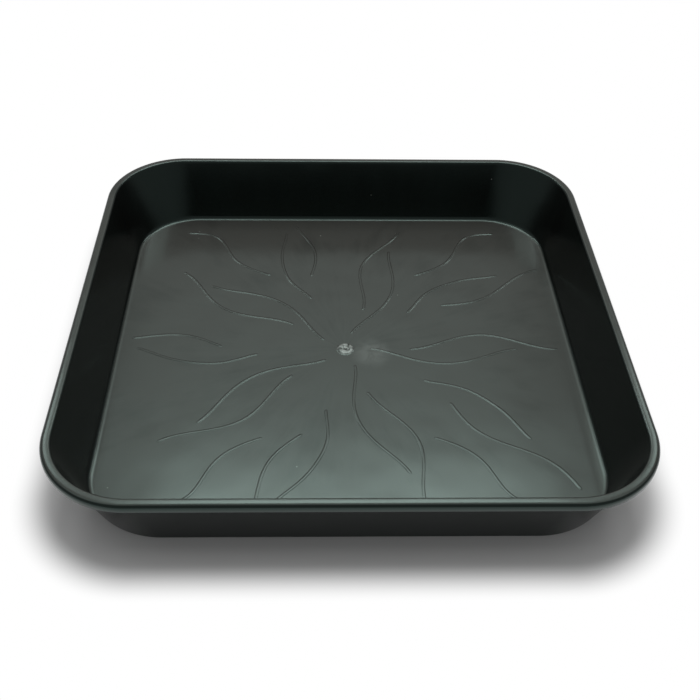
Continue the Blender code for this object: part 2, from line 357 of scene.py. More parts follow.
def add(tree, kind, links=None, **settings):
    """Adds a node with its settings and links.

    settings are its properties. links gives inputs, by name or number, a value or another node's output.
    """
    node = tree.nodes.new(kind)
    for name, value in settings.items():
        setattr(node, name, value)
    for key, value in (links or {}).items():
        if isinstance(key, str):
            socket = next(s for s in node.inputs if s.name == key and s.enabled)
        else:
            socket = node.inputs[key]
        if isinstance(value, Node):
            value = next(s for s in value.outputs if s.enabled)
        if isinstance(value, NodeSocket):
            tree.links.new(value, socket)
        else:
            socket.default_value = value
    return node


def new_tree(name, inputs):
    """Geometry node tree with named inputs and one geometry output; returns it with its input node."""
    tree = bpy.data.node_groups.new(name, "GeometryNodeTree")
    for label, kind in inputs:
        tree.interface.new_socket(label, in_out="INPUT", socket_type=kind)
    tree.interface.new_socket("Geometry", in_out="OUTPUT", socket_type="NodeSocketGeometry")
    return tree, add(tree, "NodeGroupInput")


def loft_tree():
    """Lofts a profile round a rounded square.

    Each point of the profile holds a section as (half side, corner radius, height). A section is a circle
    where the two are the same.
    """
    name = "rounded_square_loft"
    if name in bpy.data.node_groups:
        return bpy.data.node_groups[name]
    tree, given = new_tree(name, (
        ("Profile", "NodeSocketGeometry"),
        ("Corner Steps", "NodeSocketInt"),
        ("Side Steps", "NodeSocketInt"),
        ("Seam", "NodeSocketFloat"),
        ("Material", "NodeSocketMaterial"),
    ))
    profile, corner_steps, side_steps, seam, material = list(given.outputs)[:5]
    sections = add(tree, "GeometryNodeAttributeDomainSize", {"Geometry": profile})
    quarter_steps = add(tree, MATH, {0: corner_steps, 1: side_steps}, operation="ADD")
    columns = add(tree, MATH, {0: quarter_steps, 1: 4.0, 2: 1.0}, operation="MULTIPLY_ADD")
    grid = add(tree, "GeometryNodeMeshGrid", {
        "Vertices X": sections.outputs["Point Count"], "Vertices Y": columns,
    })

    index = add(tree, "GeometryNodeInputIndex")
    row = add(tree, MATH, {0: index, 1: columns}, operation="DIVIDE")
    row = add(tree, MATH, {0: row}, operation="FLOOR")
    column = add(tree, MATH, {0: index, 1: columns}, operation="MODULO")
    quarter = add(tree, MATH, {0: column, 1: quarter_steps}, operation="DIVIDE")
    quarter = add(tree, MATH, {0: quarter}, operation="FLOOR")
    step = add(tree, MATH, {0: column, 1: quarter_steps}, operation="MODULO")
    arc_share = add(tree, MATH, {0: step, 1: corner_steps}, operation="DIVIDE")
    arc_share = add(tree, MATH, {0: arc_share, 1: 1.0}, operation="MINIMUM")
    side_share = add(tree, MATH, {0: step, 1: corner_steps}, operation="SUBTRACT")
    side_share = add(tree, MATH, {0: side_share, 1: side_steps}, operation="DIVIDE")
    side_share = add(tree, MATH, {0: side_share, 1: 0.0}, operation="MAXIMUM")

    quarter_turn = add(tree, MATH, {0: quarter, 1: math.pi / 2}, operation="MULTIPLY")
    next_turn = add(tree, MATH, {0: quarter_turn, 1: math.pi / 2}, operation="ADD")
    arc_turn = add(tree, MATH, {0: arc_share, 1: math.pi / 2, 2: quarter_turn}, operation="MULTIPLY_ADD")
    here, there, out = (
        add(tree, "ShaderNodeVectorRotate", {"Vector": way, "Angle": turn}, rotation_type="Z_AXIS")
        for way, turn in (((1, 1, 0), quarter_turn), ((1, 1, 0), next_turn), ((1, 0, 0), arc_turn))
    )
    across = add(tree, VECTOR_MATH, {0: there, 1: here}, operation="SUBTRACT")
    corner_centre = add(tree, VECTOR_MATH, {0: across, 1: side_share, 2: here}, operation="MULTIPLY_ADD")

    place = add(tree, "GeometryNodeInputPosition")
    section = add(tree, "GeometryNodeSampleIndex", {
        "Geometry": profile, "Value": place, "Index": row,
    }, data_type="FLOAT_VECTOR")
    split = add(tree, "ShaderNodeSeparateXYZ", {0: section})
    half, corner, height = split.outputs
    straight = add(tree, MATH, {0: half, 1: corner}, operation="SUBTRACT")
    lift = add(tree, "ShaderNodeCombineXYZ", {"Z": height})
    arc = add(tree, VECTOR_MATH, {0: out, 1: corner, 2: lift}, operation="MULTIPLY_ADD")
    point = add(tree, VECTOR_MATH, {0: corner_centre, 1: straight, 2: arc}, operation="MULTIPLY_ADD")

    placed = add(tree, "GeometryNodeSetPosition", {"Geometry": grid, "Position": point})
    closed = add(tree, "GeometryNodeMergeByDistance", {"Geometry": placed, "Distance": seam})
    smooth = add(tree, "GeometryNodeSetShadeSmooth", {"Geometry": closed})
    real = add(tree, "GeometryNodeRealizeInstances", {"Geometry": smooth})
    dressed = add(tree, "GeometryNodeSetMaterial", {"Geometry": real, "Material": material})
    add(tree, "NodeGroupOutput", {0: dressed})
    return tree


def rib_line_tree():
    """Centreline of one rib: a chord, swung to its left by three waves."""
    tree, given = new_tree("rib_line", (
        ("Start", "NodeSocketVector"),
        ("End", "NodeSocketVector"),
        ("Bow", "NodeSocketFloat"),
        ("S Bend", "NodeSocketFloat"),
        ("Fullness", "NodeSocketFloat"),
        ("Stations", "NodeSocketInt"),
    ))
    start, end, bow, s_bend, fullness, stations = list(given.outputs)[:6]
    chord = add(tree, VECTOR_MATH, {0: end, 1: start}, operation="SUBTRACT")
    ahead = add(tree, VECTOR_MATH, {0: chord}, operation="NORMALIZE")
    left = add(tree, VECTOR_MATH, {0: (0, 0, 1), 1: ahead}, operation="CROSS_PRODUCT")
    gaps = add(tree, MATH, {0: stations, 1: 1.0}, operation="SUBTRACT")
    index = add(tree, "GeometryNodeInputIndex")
    share = add(tree, MATH, {0: index, 1: gaps}, operation="DIVIDE")
    half_turn = add(tree, MATH, {0: share, 1: math.pi}, operation="MULTIPLY")
    wave = add(tree, MATH, {0: half_turn}, operation="SINE")
    bowed = add(tree, MATH, {0: wave, 1: 2.0}, operation="POWER")
    swing = add(tree, MATH, {0: bowed, 1: bow}, operation="MULTIPLY")
    for waves, weight in ((2.0, s_bend), (3.0, fullness)):
        turn = add(tree, MATH, {0: half_turn, 1: waves}, operation="MULTIPLY")
        wave = add(tree, MATH, {0: turn}, operation="SINE")
        swing = add(tree, MATH, {0: wave, 1: weight, 2: swing}, operation="MULTIPLY_ADD")
    run = add(tree, VECTOR_MATH, {0: chord, 1: share, 2: start}, operation="MULTIPLY_ADD")
    point = add(tree, VECTOR_MATH, {0: left, 1: swing, 2: run}, operation="MULTIPLY_ADD")
    line = add(tree, "GeometryNodeMeshLine", {"Count": stations})
    placed = add(tree, "GeometryNodeSetPosition", {"Geometry": line, "Position": point})
    curve = add(tree, "GeometryNodeMeshToCurve", {"Mesh": placed})
    add(tree, "NodeGroupOutput", {0: curve})
    return tree


# Each rib form: spoke it lies on in degrees, start and end as (along, to the left), bow, s_bend, fullness
SPOKE_RIBS = (
    (0, (0.0195, 0.0009), (0.1360, 0.0005), -0.0189, -0.0003, -0.0016),
    (0, (0.0505, 0.0), (0.1680, 0.0), 0.0178, 0.0004, 0.0004),
    (36, (0.0681, 0.0058), (0.1636, -0.0013), 0.0160, 0.0010, 0.0026),
    (36, (0.0970, -0.0030), (0.2126, -0.0235), -0.0023, -0.0068, 0.0),
)
# The corner rib, with its start and end as (X, Y)
CORNER_RIB = ((0.0613, 0.0949), (0.1378, 0.1565), 0.0041, -0.0082, 0.0023)
RIB_STATIONS = 64  # points on a centreline before it is spaced evenly
TIP = 0.02         # keeps a rib's tip from closing to a point


def rib_node(tree, group, start, end, bow, s_bend, fullness):
    """Group node of a rib line, with one form's numbers."""
    return add(tree, "GeometryNodeGroup", {
        "Start": (*start, 0.0), "End": (*end, 0.0), "Bow": bow, "S Bend": s_bend, "Fullness": fullness,
        "Stations": RIB_STATIONS,
    }, node_tree=group)


def ribs_tree():
    """Carries a rib's section along every rib line: the spoke ribs and one rib in each corner."""
    tree, given = new_tree("floor_ribs", (
        ("Section", "NodeSocketGeometry"),
        ("Spokes", "NodeSocketInt"),
        ("Floor Half", "NodeSocketFloat"),
        ("Floor Corner", "NodeSocketFloat"),
        ("Floor Height", "NodeSocketFloat"),
        ("Taper", "NodeSocketFloat"),
        ("Spacing", "NodeSocketFloat"),
        ("Material", "NodeSocketMaterial"),
    ))
    section, spokes, floor_half, floor_corner = list(given.outputs)[:4]
    floor_height, taper, spacing, material = list(given.outputs)[4:8]
    group = rib_line_tree()

    # The spoke ribs, turned to each spoke
    spoke_set = add(tree, "GeometryNodeJoinGeometry")
    for spoke, *form in SPOKE_RIBS:
        line = rib_node(tree, group, *form)
        spoke_turn = (0, 0, math.radians(spoke))
        turned = add(tree, "GeometryNodeTransform", {"Geometry": line, "Rotation": spoke_turn})
        tree.links.new(turned.outputs[0], spoke_set.inputs[0])
    centres = add(tree, "GeometryNodeMeshLine", {"Count": spokes, "Offset": (0, 0, 0)})
    index = add(tree, "GeometryNodeInputIndex")
    step = add(tree, MATH, {0: 2 * math.pi, 1: spokes}, operation="DIVIDE")
    turn = add(tree, MATH, {0: index, 1: step}, operation="MULTIPLY")
    turn = add(tree, "ShaderNodeCombineXYZ", {"Z": turn})
    round_gate = add(tree, "GeometryNodeInstanceOnPoints", {
        "Points": centres, "Instance": spoke_set, "Rotation": turn,
    })

    # The corner rib, mirrored to each corner
    lines = add(tree, "GeometryNodeJoinGeometry")
    tree.links.new(round_gate.outputs[0], lines.inputs[0])
    corner_line = rib_node(tree, group, *CORNER_RIB)
    for mirror in ((1, 1, 1), (-1, 1, 1), (-1, -1, 1), (1, -1, 1)):
        mirrored = add(tree, "GeometryNodeTransform", {"Geometry": corner_line, "Scale": mirror})
        tree.links.new(mirrored.outputs[0], lines.inputs[0])
    real = add(tree, "GeometryNodeRealizeInstances", {"Geometry": lines})
    even = add(tree, "GeometryNodeResampleCurve", {"Curve": real, "Length": spacing}, mode="LENGTH")

    # Cut off where a line runs out of the rounded square that ribs may cover
    place = add(tree, "GeometryNodeInputPosition")
    folded = add(tree, VECTOR_MATH, {0: place}, operation="ABSOLUTE")
    straight = add(tree, MATH, {0: floor_half, 1: floor_corner}, operation="SUBTRACT")
    past = add(tree, VECTOR_MATH, {0: folded, 1: straight}, operation="SUBTRACT")
    past = add(tree, VECTOR_MATH, {0: past, 1: (0, 0, 0)}, operation="MAXIMUM")
    level = add(tree, VECTOR_MATH, {0: past, 1: (1, 1, 0)}, operation="MULTIPLY")
    out = add(tree, VECTOR_MATH, {0: level}, operation="LENGTH")
    outside = add(tree, MATH, {0: out.outputs["Value"], 1: floor_corner}, operation="GREATER_THAN")
    kept = add(tree, "GeometryNodeDeleteGeometry", {"Geometry": even, "Selection": outside})

    # Round noses: the section shrinks at both ends as an ellipse's height does
    along = add(tree, "GeometryNodeSplineParameter")
    whole = add(tree, "GeometryNodeSplineLength")
    ahead = add(tree, MATH, {
        0: whole.outputs["Length"], 1: along.outputs["Length"],
    }, operation="SUBTRACT")
    near_end = add(tree, MATH, {0: along.outputs["Length"], 1: ahead}, operation="MINIMUM")
    share = add(tree, MATH, {0: near_end, 1: taper}, operation="DIVIDE")
    share = add(tree, MATH, {0: share, 1: 1.0}, operation="MINIMUM")
    short = add(tree, MATH, {0: 1.0, 1: share}, operation="SUBTRACT")
    square = add(tree, MATH, {0: short, 1: short}, operation="MULTIPLY")
    left = add(tree, MATH, {0: 1 + TIP, 1: square}, operation="SUBTRACT")
    size = add(tree, MATH, {0: left, 1: 0.5}, operation="POWER")
    upright = add(tree, "GeometryNodeSetCurveNormal", {"Curve": kept}, mode="Z_UP")
    outline = add(tree, "GeometryNodeMeshToCurve", {"Mesh": section})
    swept = add(tree, "GeometryNodeCurveToMesh", {
        "Curve": upright, "Profile Curve": outline, "Scale": size, "Fill Caps": True,
    })
    lifted = add(tree, "ShaderNodeCombineXYZ", {"Z": floor_height})
    raised = add(tree, "GeometryNodeTransform", {"Geometry": swept, "Translation": lifted})
    smooth = add(tree, "GeometryNodeSetShadeSmooth", {"Geometry": raised})
    real = add(tree, "GeometryNodeRealizeInstances", {"Geometry": smooth})
    dressed = add(tree, "GeometryNodeSetMaterial", {"Geometry": real, "Material": material})
    add(tree, "NodeGroupOutput", {0: dressed})
    return tree


def grown(name, section, tree, values):
    """Object whose section a node tree has turned into a plain mesh, with its faces pointing out."""
    host = bpy.data.objects.new(name, section)
    bpy.context.scene.collection.objects.link(host)
    modifier = host.modifiers.new(tree.name, "NODES")
    modifier.node_group = tree
    for item in tree.interface.items_tree:
        if item.in_out == "INPUT" and item.name in values:
            modifier[item.identifier] = values[item.name]
    bpy.context.view_layer.update()
    depsgraph = bpy.context.evaluated_depsgraph_get()
    mesh = bpy.data.meshes.new_from_object(host.evaluated_get(depsgraph))
    host.modifiers.remove(modifier)
    host.data = mesh
    mesh.name = name
    for place in reversed(range(len(mesh.materials))):
        if mesh.materials[place] is None:
            mesh.materials.pop(index=place)
    face_out(mesh)
    return host


def face_out(mesh):
    """Welds a closed mesh and turns its faces outward."""
    shape = bmesh.new()
    shape.from_mesh(mesh)
    bmesh.ops.remove_doubles(shape, verts=shape.verts, dist=WELD)
    bmesh.ops.recalc_face_normals(shape, faces=shape.faces)
    shape.to_mesh(mesh)
    shape.free()


# Finish

STREAK_DRIFT = 3.0                    # change per metre outward, so that a streak is about 37 mm long
# The film is partly dust and lime and partly painted light: it keeps to level faces, so the floor shows
# lighter than the walls.
FILM_BASE = 0.3                       # the film's strength before clouds and streaks add to it
FILM_CLOUDS = 0.9
FILM_STREAKS = 0.5
DUST_AND_PAINTED_LIGHT_LEVEL = (0.80, 0.98)             # upward part of the normal where it starts to lie and where it is full
BLUSH_PLACE = (0.020, -0.004, 0)      # the blush lies beside the gate, to the right of it
BLUSH_SQUASH = (1.0, 0.9, 0)          # the blush is a little longer along Y
BLUSH_REACH = (0.019, 0.006)          # distance from its middle where the blush ends and where it is full
BLUSH_STRENGTH = 0.10
WISP_RANGE = (0.30, 0.70)
MARK_CORE = 0.72                      # share of the pad's radius inside which the whitening is full
MARK_STRENGTH = 0.60
PATCH_SHIFT = (0.0031, -0.0012, 0)    # picks the part of the pattern that lies on the mark
PATCH_RANGE = (0.32, 0.58)
FLECK_REACH = (0.075, 0.03)           # shares of a cell where a fleck ends and where it is full
FLECK_CHANCE = 0.93                   # a cell whose random number is over this holds a fleck
STREAK_ROUGHNESS = 0.06               # roughness differs by this between streaks
PALE_ROUGHNESS = 0.25                 # whitened plastic is rougher by this
RIPPLE_RISE = 0.0004                  # rise that the slow unevenness is shaded with
GRAIN_RISE = 0.00004                  # rise that the fine grain is shaded with
GRAIN_STRENGTH = 0.25


def melt_flow(tree, finish, place):
    """Offset from the gate on plan, distance from it, and streaks that radiate as the melt flowed."""
    plan = add(tree, VECTOR_MATH, {0: place, 1: (1, 1, 0)}, operation="MULTIPLY")
    reach = add(tree, VECTOR_MATH, {0: plan}, operation="LENGTH").outputs["Value"]
    ray = add(tree, VECTOR_MATH, {0: plan}, operation="NORMALIZE")
    drift = add(tree, VECTOR_MATH, {0: plan, 1: (STREAK_DRIFT,) * 3, 2: ray}, operation="MULTIPLY_ADD")
    streaks = add(tree, "ShaderNodeTexNoise", {
        "Vector": drift, "Scale": 1 / finish.streak, "Detail": 3.0, "Roughness": 0.55,
    })
    return plan, reach, streaks


def dust_and_painted_light(tree, finish, place, upward, streaks):
    """How thick the film lies: cloudy, a little streaked, and on level faces only. Partly dust and lime,
    partly painted light that keeps the floor lighter than the walls.
    """
    clouds = add(tree, "ShaderNodeTexNoise", {
        "Vector": place, "Scale": 1 / finish.cloud, "Detail": 4.0, "Roughness": 0.55,
    })
    # Painted light in part: the film keeps to level faces, so the floor shows lighter than the walls.
    level = add(tree, "ShaderNodeMapRange", {
        "Value": upward, "From Min": DUST_AND_PAINTED_LIGHT_LEVEL[0], "From Max": DUST_AND_PAINTED_LIGHT_LEVEL[1],
    })
    film = FILM_BASE
    for part, weight in ((clouds, FILM_CLOUDS), (streaks, FILM_STREAKS)):
        film = add(tree, MATH, {0: part, 1: weight, 2: film}, operation="MULTIPLY_ADD")
    return add(tree, MATH, {0: film, 1: level}, operation="MULTIPLY")


def whitening(tree, finish, gate, place, plan, reach):
    """How pale the plastic is at the gate: wispy blush beside it and whitened spots on the mark itself."""
    # The blush lies within 19 mm of a point 20 mm to the right of the gate
    beside = add(tree, VECTOR_MATH, {0: plan, 1: BLUSH_PLACE}, operation="SUBTRACT")
    beside = add(tree, VECTOR_MATH, {0: beside, 1: BLUSH_SQUASH}, operation="MULTIPLY")
    beside = add(tree, VECTOR_MATH, {0: beside}, operation="LENGTH").outputs["Value"]
    beside = add(tree, "ShaderNodeMapRange", {
        "Value": beside, "From Min": BLUSH_REACH[0], "From Max": BLUSH_REACH[1],
    }, interpolation_type="SMOOTHSTEP")
    wisps = add(tree, "ShaderNodeTexNoise", {
        "Vector": place, "Scale": 1 / finish.wisp, "Detail": 2.0, "Roughness": 0.5, "Distortion": 0.5,
    })
    wisps = add(tree, "ShaderNodeMapRange", {
        "Value": wisps, "From Min": WISP_RANGE[0], "From Max": WISP_RANGE[1],
    })
    blush = add(tree, MATH, {0: beside, 1: wisps}, operation="MULTIPLY")

    mark = add(tree, "ShaderNodeMapRange", {
        "Value": reach, "From Min": gate.radius, "From Max": gate.radius * MARK_CORE,
    }, interpolation_type="SMOOTHSTEP")
    spot = add(tree, "ShaderNodeMapping", {"Vector": place, "Location": PATCH_SHIFT})
    patches = add(tree, "ShaderNodeTexNoise", {
        "Vector": spot, "Scale": 1 / finish.patch, "Detail": 2.0, "Distortion": 0.6,
    })
    patches = add(tree, "ShaderNodeMapRange", {
        "Value": patches, "From Min": PATCH_RANGE[0], "From Max": PATCH_RANGE[1],
    })
    for factor in (patches, MARK_STRENGTH):
        mark = add(tree, MATH, {0: mark, 1: factor}, operation="MULTIPLY")
    return add(tree, MATH, {0: blush, 1: BLUSH_STRENGTH, 2: mark}, operation="MULTIPLY_ADD")


def flecks(tree, finish, place):
    """Flecks of grit and lime, in about one of fourteen cells of 9 mm, each of its own strength."""
    cells = add(tree, "ShaderNodeTexVoronoi", {
        "Vector": place, "Scale": 1 / finish.fleck_gap, "Randomness": 1.0,
    })
    fleck = add(tree, "ShaderNodeMapRange", {
        "Value": cells.outputs["Distance"], "From Min": FLECK_REACH[0], "From Max": FLECK_REACH[1],
    })
    chance = add(tree, "ShaderNodeSeparateColor", {0: cells.outputs["Color"]})
    chosen = add(tree, MATH, {0: chance.outputs[0], 1: FLECK_CHANCE}, operation="GREATER_THAN")
    for factor in (chosen, chance.outputs[1]):
        fleck = add(tree, MATH, {0: fleck, 1: factor}, operation="MULTIPLY")
    return fleck


def skin(tree, finish, place):
    """The tool's fine grain, over the slow unevenness that a thin moulding takes on as it cools."""
    # Real grain is a few tenths of a millimetre; it is drawn at 1.1 mm so that it shows in the render
    grain = add(tree, "ShaderNodeTexNoise", {
        "Vector": place, "Scale": 1 / finish.grain, "Detail": 2.0, "Roughness": 0.6,
    })
    ripple = add(tree, "ShaderNodeTexNoise", {"Vector": place, "Scale": 1 / finish.ripple, "Detail": 1.0})
    slow = add(tree, "ShaderNodeBump", {"Strength": 1.0, "Distance": RIPPLE_RISE, "Height": ripple})
    return add(tree, "ShaderNodeBump", {
        "Strength": GRAIN_STRENGTH, "Distance": GRAIN_RISE, "Height": grain, "Normal": slow,
    })


def polypropylene():
    """Black polypropylene, injection moulded in a polished steel tool and then used outdoors.

    The tool's polish gives a satin skin with a soft mirror; the melt's flow leaves streaks that radiate from
    the gate and a hazy blush beside it, and a thin film lies on the faces that lie level: partly dust and
    lime that dulls them, partly painted light that keeps the floor lighter than the walls.
    """
    finish = bpy.context.scene.saucer_finish
    gate = bpy.context.scene.saucer_gate
    name = "moulded_black_polypropylene"
    material = bpy.data.materials.get(name)
    if material:
        return material
    material = bpy.data.materials.new(name)
    material.use_nodes = True
    tree = material.node_tree
    shader = tree.nodes["Principled BSDF"]
    shader.inputs["IOR"].default_value = finish.ior
    shader.inputs["Specular Tint"].default_value = finish.sheen_tint
    place = add(tree, "ShaderNodeTexCoord").outputs["Object"]
    facing = add(tree, "ShaderNodeNewGeometry")
    upward = add(tree, "ShaderNodeSeparateXYZ", {0: facing.outputs["Normal"]}).outputs["Z"]
    plan, reach, streaks = melt_flow(tree, finish, place)

    # Film (dust and painted light), whitening and flecks over the body colour; the last two keep off the
    # underside
    film = dust_and_painted_light(tree, finish, place, upward, streaks)
    topside = add(tree, MATH, {0: upward, 1: 0.0}, operation="GREATER_THAN")
    pale, fleck = (
        add(tree, MATH, {0: share, 1: topside}, operation="MULTIPLY")
        for share in (whitening(tree, finish, gate, place, plan, reach), flecks(tree, finish, place))
    )
    colour = finish.colour
    for share, over in ((film, finish.film), (pale, finish.blush), (fleck, finish.fleck)):
        colour = add(tree, "ShaderNodeMix", {"Factor": share, "A": colour, "B": over}, data_type="RGBA")
    tree.links.new(next(s for s in colour.outputs if s.enabled), shader.inputs["Base Color"])

    rough = finish.roughness - STREAK_ROUGHNESS / 2
    for part, weight in ((streaks, STREAK_ROUGHNESS), (pale, PALE_ROUGHNESS)):
        rough = add(tree, MATH, {0: part, 1: weight, 2: rough}, operation="MULTIPLY_ADD")
    tree.links.new(rough.outputs[0], shader.inputs["Roughness"])
    tree.links.new(skin(tree, finish, place).outputs[0], shader.inputs["Normal"])
    return material


# Pieces

def dress(piece):
    """Names what every piece rides on."""
    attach(piece, BODY)
    return piece


class SAUCER_OT_add_tray(Operator):
    """Add the tray: floor, foot, leaning walls and turned-down rim"""

    bl_idname = "saucer.add_tray"
    bl_label = "Add Tray"

    def execute(self, context):
        sizes = context.scene.saucer_tray
        sections = underside(sizes) + rim(sizes) + inside(sizes)
        tray = grown("tray", polyline("tray_profile", sections, closed=False), loft_tree(), {
            "Corner Steps": sizes.corner_steps,
            "Side Steps": sizes.side_steps,
            "Seam": WELD,
            "Material": polypropylene(),
        })
        tray.data.set_sharp_from_angle(angle=SHARP_ANGLE)
        dress(tray)
        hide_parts(SAUCER_NODE)
        return {"FINISHED"}


class SAUCER_OT_add_ribs(Operator):
    """Add the wavy ribs on the floor"""

    bl_idname = "saucer.add_ribs"
    bl_label = "Add Floor Ribs"

    def execute(self, context):
        tray = context.scene.saucer_tray
        sizes = context.scene.saucer_ribs
        half, corner = inner_wall(tray, floor_top(tray))
        edge = floor_inset(tray) + sizes.wall_gap
        # The sweep turns the section's +Y downward
        outline = [(x, -z, 0.0) for x, z in rib_section(sizes)]
        ribs = grown("floor_ribs", polyline("rib_section", outline, closed=True), ribs_tree(), {
            "Spokes": sizes.spokes,
            "Floor Half": half - edge,
            "Floor Corner": corner - edge,
            "Floor Height": floor_top(tray),
            "Taper": sizes.taper,
            "Spacing": sizes.spacing,
            "Material": polypropylene(),
        })
        ribs.data.set_sharp_from_angle(angle=SHARP_ANGLE)
        dress(ribs)
        return {"FINISHED"}


PAD_STEPS = 16     # facets from the pad's edge to the stub
# The stub's top, from its edge inward: shares of its radius and of the dish
STUB_TOP = ((0.94, 1.0), (0.8, 0.0), (0.5, 0.5), (0.0, 1.0))


def gate_profile(sizes, base):
    """Sections of the gate mark from its hidden foot, over the pad's slope, to the middle of the stub."""
    profile = [(0.0, base - sizes.root), (sizes.radius, base - sizes.root)]
    for step in range(PAD_STEPS + 1):
        share = step / PAD_STEPS
        radius = sizes.radius + (sizes.nub_radius - sizes.radius) * share
        slope = min(share / sizes.shoulder, 1.0)
        rise = slope * slope * (3 - 2 * slope)
        profile.append((radius, base + (sizes.height + sizes.tuck) * rise - sizes.tuck))
    top = base + sizes.height + sizes.nub_height
    profile += [(sizes.nub_radius * out, top - sizes.dish * drop) for out, drop in STUB_TOP]
    return [(radius, radius, height) for radius, height in profile]


class SAUCER_OT_add_gate_mark(Operator):
    """Add the mark where the plastic entered the mould"""

    bl_idname = "saucer.add_gate_mark"
    bl_label = "Add Gate Mark"

    def execute(self, context):
        sizes = context.scene.saucer_gate
        sections = gate_profile(sizes, floor_top(context.scene.saucer_tray))
        gate = grown("gate_mark", polyline("gate_profile", sections, closed=False), loft_tree(), {
            "Corner Steps": sizes.quarter_steps,
            "Side Steps": 1,
            "Seam": WELD,
            "Material": polypropylene(),
        })
        gate.data.set_sharp_from_angle(angle=SHARP_ANGLE)
        dress(gate)
        return {"FINISHED"}


# Stage

CAMERA_PLACE = Vector((-0.02388, -0.5808, 0.52404))
CAMERA_PITCH = 0.7311      # down from level, radians
CAMERA_YAW = 0.0339        # to the right of +Y
CAMERA_ROLL = 0.0229
FOCAL_PIXELS = 992.1       # focal length in pixels of the square frame
CENTRE_PIXEL = (339.9, 350.4)
SENSOR = 36.0              # mm

LAMP_HEIGHT = 1.5          # all lamps hang level at this height and shine straight down
BACK_MIDDLE = (0.065, 0.73)      # softbox behind the saucer, as (X, Y)
BACK_SIZE = (1.0, 0.84)
STRIP_BACK = 1.25          # how far behind the saucer's middle the two strips hang
STRIP_DEPTH = 0.5
TOP_MIDDLE = (0.0, -0.15)        # softbox over the saucer, as (X, Y)
TOP_SIZE = (3.0, 0.9)
BACKDROP_EDGE = 0.2        # its sides fade over this share of its half width, inward and outward
BACKDROP_AHEAD = (0.35, 0.55)    # part along +Y of the directions where it starts and where it is full
BACKDROP_HIGH = (0.55, 0.68)     # part along +Z of the directions where it starts and where it is full


def camera():
    """Camera at the photograph's place, from its pitch, yaw and roll."""
    ahead = Vector((
        math.sin(CAMERA_YAW) * math.cos(CAMERA_PITCH),
        math.cos(CAMERA_YAW) * math.cos(CAMERA_PITCH),
        -math.sin(CAMERA_PITCH),
    ))
    level = Vector((math.cos(CAMERA_YAW), -math.sin(CAMERA_YAW), 0.0))
    upward = level.cross(ahead)
    right = math.cos(CAMERA_ROLL) * level + math.sin(CAMERA_ROLL) * upward
    up = math.cos(CAMERA_ROLL) * upward - math.sin(CAMERA_ROLL) * level
    data = bpy.data.cameras.new("camera")
    data.sensor_width = SENSOR
    data.lens = FOCAL_PIXELS / FRAME_PIXELS * SENSOR
    data.shift_x = (FRAME_PIXELS / 2 - CENTRE_PIXEL[0]) / FRAME_PIXELS
    data.shift_y = (CENTRE_PIXEL[1] - FRAME_PIXELS / 2) / FRAME_PIXELS
    obj = bpy.data.objects.new("camera", data)
    turn = Matrix((right, up, -ahead)).transposed().to_4x4()
    obj.matrix_world = Matrix.Translation(CAMERA_PLACE) @ turn
    bpy.context.scene.collection.objects.link(obj)
    bpy.context.scene.camera = obj


def lamp(name, middle, size, radiance):
    """Rectangular area lamp with a given brightness, level over a point of the floor."""
    width, depth = size
    data = bpy.data.lights.new(name, "AREA")
    data.shape = "RECTANGLE"
    data.size = width
    data.size_y = depth
    data.energy = radiance * math.pi * width * depth
    obj = bpy.data.objects.new(name, data)
    obj.location = (*middle, LAMP_HEIGHT)
    bpy.context.scene.collection.objects.link(obj)


def seen_or_mirrored(tree):
    """1 for what the camera sees, straight or in gloss or glass, and 0 for light that falls on surfaces."""
    path = add(tree, "ShaderNodeLightPath")
    seen = add(tree, MATH, {
        0: path.outputs["Is Camera Ray"], 1: path.outputs["Is Glossy Ray"],
    }, operation="MAXIMUM")
    return add(tree, MATH, {0: seen, 1: path.outputs["Is Transmission Ray"]}, operation="MAXIMUM")


def paper_floor(stage):
    """Pale paper sweep: it takes the saucer's shade near it and is plain white further out."""
    material = bpy.data.materials.new("paper_sweep")
    material.use_nodes = True
    tree = material.node_tree
    shader = tree.nodes["Principled BSDF"]
    shader.inputs["Base Color"].default_value = stage.floor_colour
    shader.inputs["Roughness"].default_value = 1.0
    shader.inputs["Specular IOR Level"].default_value = 0.0
    place = add(tree, "ShaderNodeTexCoord")
    folded = add(tree, VECTOR_MATH, {0: place.outputs["Object"]}, operation="ABSOLUTE")
    straight = stage.shade_side / 2 - stage.shade_corner
    past = add(tree, VECTOR_MATH, {0: folded, 1: (straight, straight, 0)}, operation="SUBTRACT")
    past = add(tree, VECTOR_MATH, {0: past, 1: (0, 0, 0)}, operation="MAXIMUM")
    reach = add(tree, VECTOR_MATH, {0: past}, operation="LENGTH").outputs["Value"]
    away = add(tree, "ShaderNodeMapRange", {
        "Value": reach, "From Min": stage.shade_corner, "From Max": stage.shade_corner + stage.shade_fade,
    }, interpolation_type="SMOOTHSTEP")
    white = add(tree, "ShaderNodeEmission", {"Color": (1, 1, 1, 1), "Strength": 1.0})
    share = add(tree, MATH, {0: away.outputs[0], 1: seen_or_mirrored(tree)}, operation="MULTIPLY")
    mix = add(tree, "ShaderNodeMixShader", {0: share, 1: shader, 2: white})
    tree.links.new(mix.outputs[0], tree.nodes["Material Output"].inputs["Surface"])
    return material


